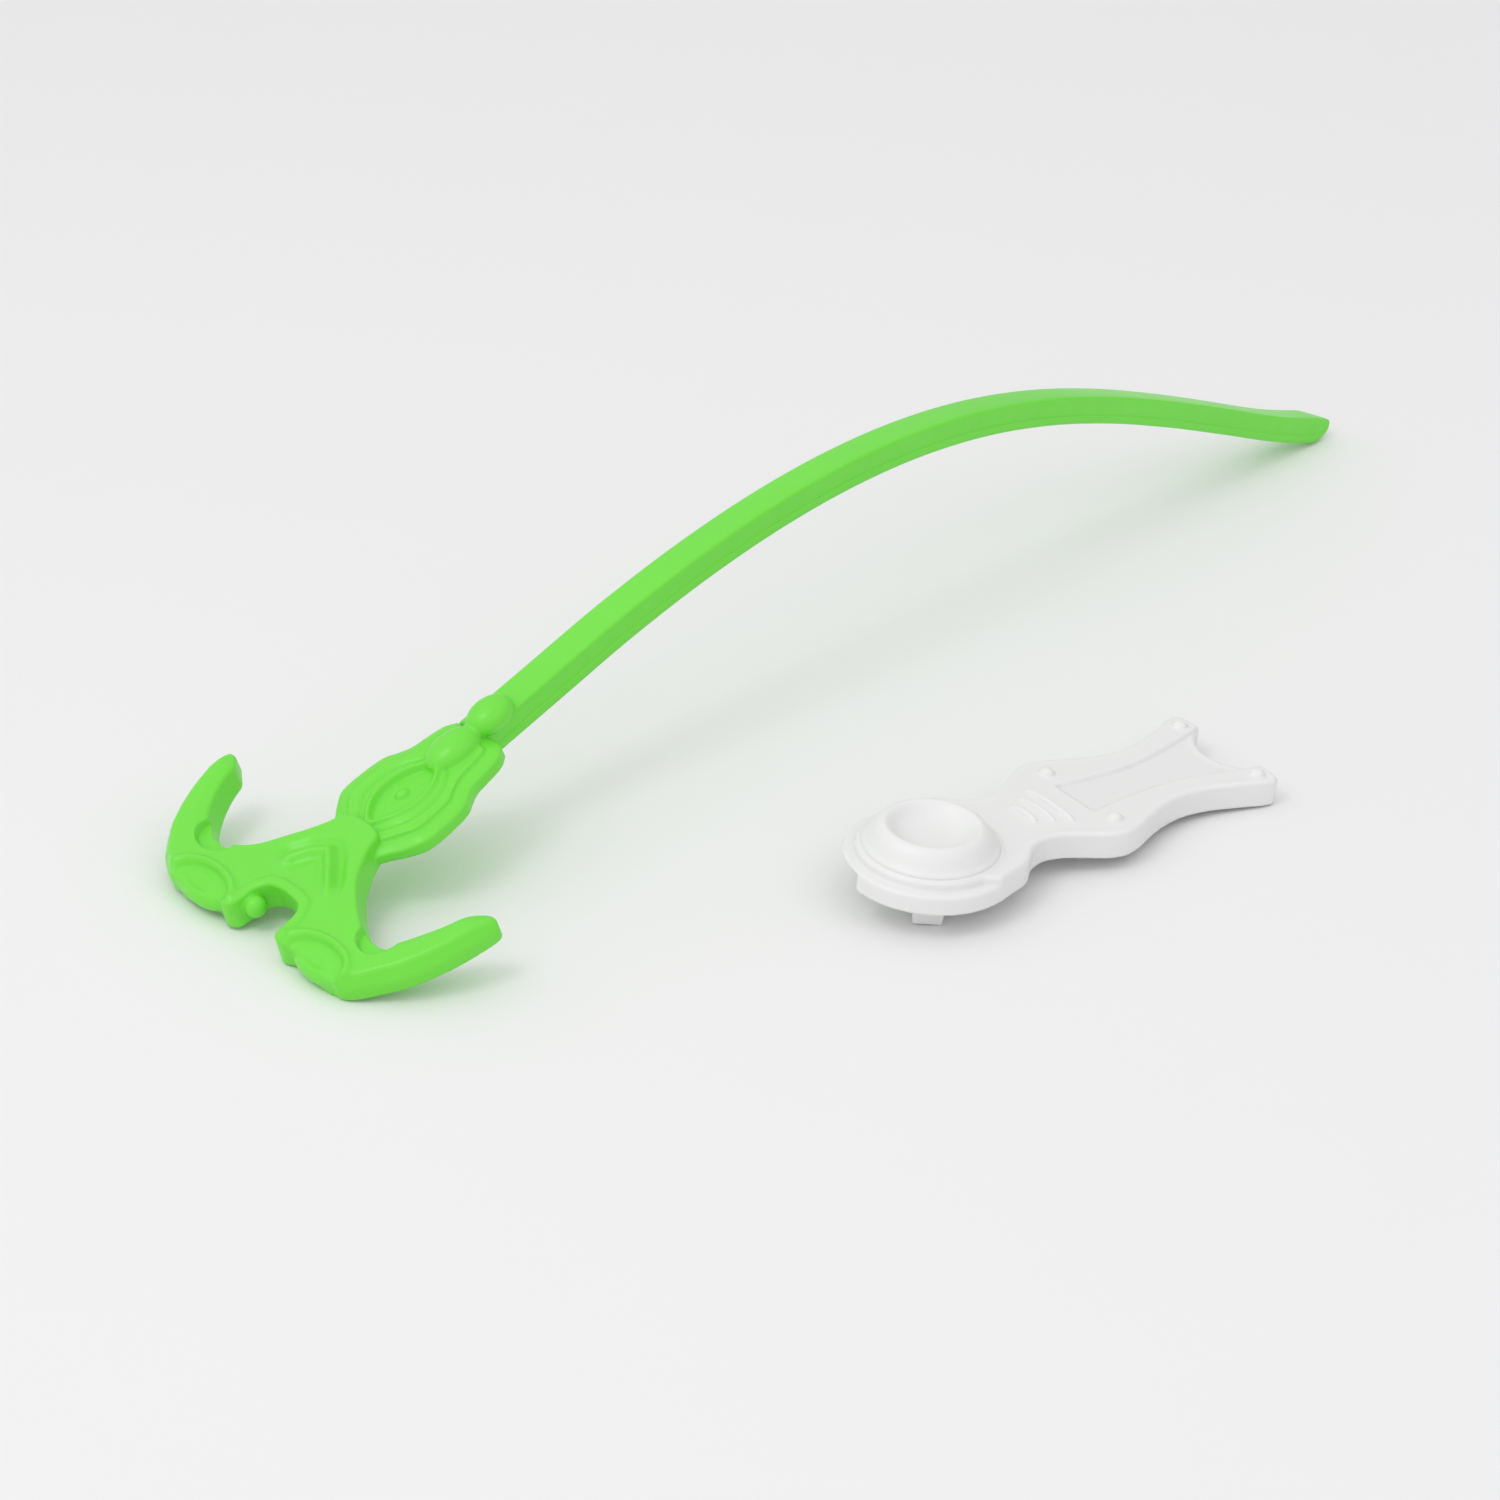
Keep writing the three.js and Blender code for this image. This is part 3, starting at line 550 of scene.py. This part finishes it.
def shell_field(x, y, z):
    r = np.hypot(x, y)
    side = np.abs(y)
    edge = polygon(x, y, handle)
    body = shell_outside(x, y, z, r, side, edge)

    # the cap's seat is a little smaller than the cap, so no gap shows round it
    seat = np.maximum(r - CAP_R + 0.35, CASE_T - CAP_RECESS - z)
    boss_hole = r - BOSS_R - GAP
    under_roof = z - CASE_T + ROOF
    inside = np.minimum(r - DISC_CAVITY_R, np.maximum(edge + WALL, 4 - x))
    hollow = np.maximum(inside, under_roof)
    u, v = turned(x, y, CHANNEL_TURN)
    # the channel's outer wall stops short of both its ends
    outer = v - CHANNEL_OUT - 4 * step(np.abs(u), 5.0, 5.8)
    channel = np.maximum(np.abs(u) - 25, z - CHANNEL_TOP)
    channel = np.maximum(channel, np.maximum(CHANNEL_IN - v, outer))
    body = np.maximum(body, -seat)
    body = np.maximum(body, -boss_hole)
    body = soft_max(body, -hollow, 0.2)
    body = soft_max(body, -channel, 0.25)
    for at, off in STUDS:
        away = np.hypot(x - at, side - off)
        post = np.maximum(np.maximum(away - 2.4, 2.6 - z), under_roof - 0.2)
        body = np.minimum(body, post)
        body = np.maximum(body, -np.maximum(away - SCREW_BORE, z - 5.0))
    return body


def hub_field(x, y, z):
    r = np.hypot(x, y)
    u, v = turned(x, y, HUB_TURN)
    body = slab(r - HUB_R, z, HUB_BOTTOM, HUB_TOP, 0.3, 0.3)
    bar = rounded(np.abs(u) - PRONG_R, np.abs(v) - PRONG_W / 2, 0.5)
    bar = slab(bar, z, HUB_BOTTOM, BAR_TOP, 0.25, 0.3)
    away = np.abs(np.abs(u) - (PRONG_R - PRONG_T / 2))
    slim = 0.06 - 0.03 * (z - PRONG_BOTTOM)
    prong = rounded(away - PRONG_T / 2 + slim, np.abs(v) - PRONG_W / 2 + slim, 0.5)
    prong = slab(prong, z, PRONG_BOTTOM, BAR_TOP - 0.2, 0.2, 0.35)
    body = soft_min(soft_min(body, bar, 0.2), prong, 0.2)
    body = np.maximum(body, -(r - HUB_BORE))
    return np.maximum(body, -np.maximum(r - HUB_SINK, z + 2.1))


def lathe(profile, segments):
    """A closed turned solid from a profile that starts and ends on the axis."""
    verts = [(0, 0, profile[0][1])]
    rows = profile[1:-1]
    turns = [2 * math.pi * i / segments for i in range(segments)]
    for r, z in rows:
        verts += [(r * math.cos(t), r * math.sin(t), z) for t in turns]
    verts.append((0, 0, profile[-1][1]))
    last = len(verts) - 1
    faces = []
    for i in range(segments):
        k = (i + 1) % segments
        faces.append((0, 1 + i, 1 + k))
        for j in range(len(rows) - 1):
            a = 1 + j * segments
            faces.append((a + i, a + segments + i, a + segments + k, a + k))
        a = 1 + (len(rows) - 1) * segments
        faces.append((last, a + k, a + i))
    return np.array(verts, float), faces


def cap_profile():
    """From the middle of the dished top, round the foot, to the boss and its bore below."""
    foot = CASE_T - CAP_RECESS + GAP
    skin = [(float(r), float(z)) for r, z in catmull(CAP, 44)]
    return [
        *skin[:-1], (13.35, 6.28), (13.46, 6.2), (CAP_R, 6.05), (CAP_R, foot + 0.1),
        (CAP_R - 0.1, foot), (BOSS_R + 0.02, foot), (BOSS_R, foot - 0.05),
        (BOSS_R, BOSS_BOTTOM + 0.15), (BOSS_R - 0.15, BOSS_BOTTOM),
        (BOSS_BORE + 0.1, BOSS_BOTTOM), (BOSS_BORE, BOSS_BOTTOM + 0.1),
        (BOSS_BORE, foot - 0.05), (BOSS_BORE - 0.05, foot), (0, foot)]


LAUNCHER_MATRIX = launcher_placement()
SHELL_CELL = 0.4
HUB_CELL = 0.3
shell_mesh = surface_nets(shell_field, (-18.4, -18.4, -1.2), (81, 18.4, 7.6), SHELL_CELL)
shell = make("upper_shell_looks", *shell_mesh, LAUNCHER_MATRIX)
hub_mesh = surface_nets(hub_field, (-12.4, -12.4, -6.2), (12.4, 12.4, -0.5), HUB_CELL)
hub = make("prong_hub_looks", *hub_mesh, LAUNCHER_MATRIX)
cap = make("top_cap_looks", *lathe(cap_profile(), 128), LAUNCHER_MATRIX)


# ---- finishes -----------------------------------------------------------------------------------
CLOUDS, GLOSS_PATCHES, GRAIN = (38, 3), (160, 4), (900, 2)  # noise scale and detail
GRAIN_DEPTH, SCATTER_DEPTH = 0.0002, 0.002  # in m
PLASTIC_IOR = 1.48


def finish_of(name, light, dark, rough, grain, scatter=0.0, metal=0.0, tint=None,
              stretch=(1, 1, 1)):
    """A moulded or plated surface: two shades in soft clouds, uneven gloss and a fine grain."""
    m = bpy.data.materials.new(name)
    m.use_nodes = True
    tree = m.node_tree
    tree.nodes.clear()
    out = tree.nodes.new("ShaderNodeOutputMaterial")
    bsdf = tree.nodes.new("ShaderNodeBsdfPrincipled")
    tree.links.new(bsdf.outputs[0], out.inputs[0])
    coord = tree.nodes.new("ShaderNodeTexCoord")
    scale = tree.nodes.new("ShaderNodeMapping")
    scale.inputs["Scale"].default_value = stretch
    tree.links.new(coord.outputs["Object"], scale.inputs["Vector"])

    def noise(size, detail):
        n = tree.nodes.new("ShaderNodeTexNoise")
        n.inputs["Scale"].default_value = size
        n.inputs["Detail"].default_value = detail
        tree.links.new(scale.outputs["Vector"], n.inputs["Vector"])
        return n.outputs["Fac"]

    mix = tree.nodes.new("ShaderNodeMix")
    mix.data_type = "RGBA"
    mix.inputs["A"].default_value = (*dark, 1)
    mix.inputs["B"].default_value = (*light, 1)
    tree.links.new(noise(*CLOUDS), mix.inputs["Factor"])
    tree.links.new(mix.outputs["Result"], bsdf.inputs["Base Color"])
    gloss = tree.nodes.new("ShaderNodeMapRange")
    gloss.inputs["To Min"].default_value = rough[0]
    gloss.inputs["To Max"].default_value = rough[1]
    tree.links.new(noise(*GLOSS_PATCHES), gloss.inputs["Value"])
    tree.links.new(gloss.outputs["Result"], bsdf.inputs["Roughness"])
    bump = tree.nodes.new("ShaderNodeBump")
    bump.inputs["Strength"].default_value = grain
    bump.inputs["Distance"].default_value = GRAIN_DEPTH
    tree.links.new(noise(*GRAIN), bump.inputs["Height"])
    tree.links.new(bump.outputs["Normal"], bsdf.inputs["Normal"])
    bsdf.inputs["Metallic"].default_value = metal
    bsdf.inputs["IOR"].default_value = PLASTIC_IOR
    if scatter:
        bsdf.inputs["Subsurface Weight"].default_value = scatter
        bsdf.inputs["Subsurface Radius"].default_value = tint
        bsdf.inputs["Subsurface Scale"].default_value = SCATTER_DEPTH
    return m


green = finish_of(
    "green_plastic", light=(0.175, 0.770, 0.053), dark=(0.154, 0.718, 0.043),
    rough=(0.27, 0.37), grain=0.05, scatter=0.08, tint=(0.35, 1.0, 0.15))
white = finish_of(
    "white_plastic", light=(0.835, 0.835, 0.833), dark=(0.81, 0.81, 0.807),
    rough=(0.32, 0.44), grain=0.05, scatter=0.08, tint=(1.0, 1.0, 1.0))
nylon = finish_of(
    "gear_nylon", light=(0.84, 0.84, 0.80), dark=(0.78, 0.78, 0.74), rough=(0.5, 0.6), grain=0.1)
steel = finish_of(
    "screw_steel", light=(0.66, 0.66, 0.67), dark=(0.5, 0.5, 0.52), rough=(0.28, 0.42),
    grain=0.15, metal=1.0, stretch=(1, 1, 4))


def dress(o, material):
    """Give the object the one material on all its faces."""
    o.data.materials.clear()
    o.data.materials.append(material)
    for face in o.data.polygons:
        face.material_index = 0


for piece, material, body, node, slot in (
        (grip, green, "ripcord", "ripcord_grip", "green_plastic"),
        (strip, green, "ripcord", "ripcord_strip", "green_plastic"),
        (shell, white, "launcher_case", "upper_shell", "white_plastic"),
        (cap, white, "launcher_case", "top_cap", "white_plastic"),
        (hub, white, "drive", "prong_hub", "white_plastic")):
    dress(piece, material)
    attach(piece, body)
    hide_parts(node)

CARRIED_OVER = {
    "lower_shell": white, "drive_gear": nylon, "hub_washer": steel, "hub_screw": steel,
    "case_screw_1": steel, "case_screw_2": steel, "case_screw_3": steel, "case_screw_4": steel}
for node, material in CARRIED_OVER.items():
    dress(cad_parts[node], material)


# ---- floor, camera and light, in m --------------------------------------------------------------
FLOOR_HALF = 6.0
CAMERA_AT, CAMERA_TARGET, LENS = (-0.54395, -0.4710, 0.38785), (-0.04351, 0.01801, 0.0), 93.12
LAMPS = (  # name, place, target, size, power in W
    ("left", (-0.56, 0.06, 0.86), (0.0, 0.01, 0.0), 0.34, 1.2),
    ("front", (0.05, -0.75, 0.85), (0.0, 0.0, 0.0), 0.5, 0.45))
SKY_AT_HORIZON, SKY_OVERHEAD = 0.63, 1.02
SKY_LEFT, SKY_RIGHT = 1.28, 0.72  # how the sky's level changes from -X to +X


def aim(o, at, target):
    o.location = Vector(at)
    o.rotation_euler = (Vector(target) - Vector(at)).to_track_quat("-Z", "Y").to_euler()


def add(name, data):
    o = bpy.data.objects.new(name, data)
    bpy.context.scene.collection.objects.link(o)
    return o


def level_of(tree, value, low, high):
    """A node that maps the value onto low to high."""
    level = tree.nodes.new("ShaderNodeMapRange")
    level.inputs["To Min"].default_value = low
    level.inputs["To Max"].default_value = high
    tree.links.new(value, level.inputs["Value"])
    return level


def build_sky():
    """A soft white surround, brightest overhead and brighter on the left than on the right."""
    world = bpy.data.worlds.new("world")
    bpy.context.scene.world = world
    world.use_nodes = True
    tree = world.node_tree
    sky = tree.nodes["Background"]
    sky.inputs["Strength"].default_value = 1.0
    direction = tree.nodes.new("ShaderNodeTexCoord")
    parts = tree.nodes.new("ShaderNodeSeparateXYZ")
    tree.links.new(direction.outputs["Generated"], parts.inputs["Vector"])
    upward = level_of(tree, parts.outputs["Z"], SKY_AT_HORIZON, SKY_OVERHEAD)
    across = level_of(tree, parts.outputs["X"], SKY_LEFT, SKY_RIGHT)
    across.inputs["From Min"].default_value = -1.0
    both = tree.nodes.new("ShaderNodeMath")
    both.operation = "MULTIPLY"
    tree.links.new(upward.outputs["Result"], both.inputs[0])
    tree.links.new(across.outputs["Result"], both.inputs[1])
    tree.links.new(both.outputs[0], sky.inputs["Color"])


mesh = bpy.data.meshes.new("floor")
corners = [(x * FLOOR_HALF, y * FLOOR_HALF, 0) for x, y in ((-1, -1), (1, -1), (1, 1), (-1, 1))]
mesh.from_pydata(corners, [], [(0, 1, 2, 3)])
floor = add("floor", mesh)
dress(floor, finish_of(
    "pale_floor", light=(0.86, 0.86, 0.86), dark=(0.855, 0.855, 0.855), rough=(0.6, 0.7),
    grain=0.0))

camera = add("camera", bpy.data.cameras.new("camera"))
bpy.context.scene.camera = camera
bpy.context.scene.view_settings.view_transform = "Standard"
camera.data.sensor_width = 36
camera.data.lens = LENS
aim(camera, CAMERA_AT, CAMERA_TARGET)

for name, at, target, size, power in LAMPS:
    lamp = bpy.data.lights.new(name, "AREA")
    lamp.shape = "SQUARE"
    lamp.size = size
    lamp.energy = power
    aim(add(name, lamp), at, target)

build_sky()
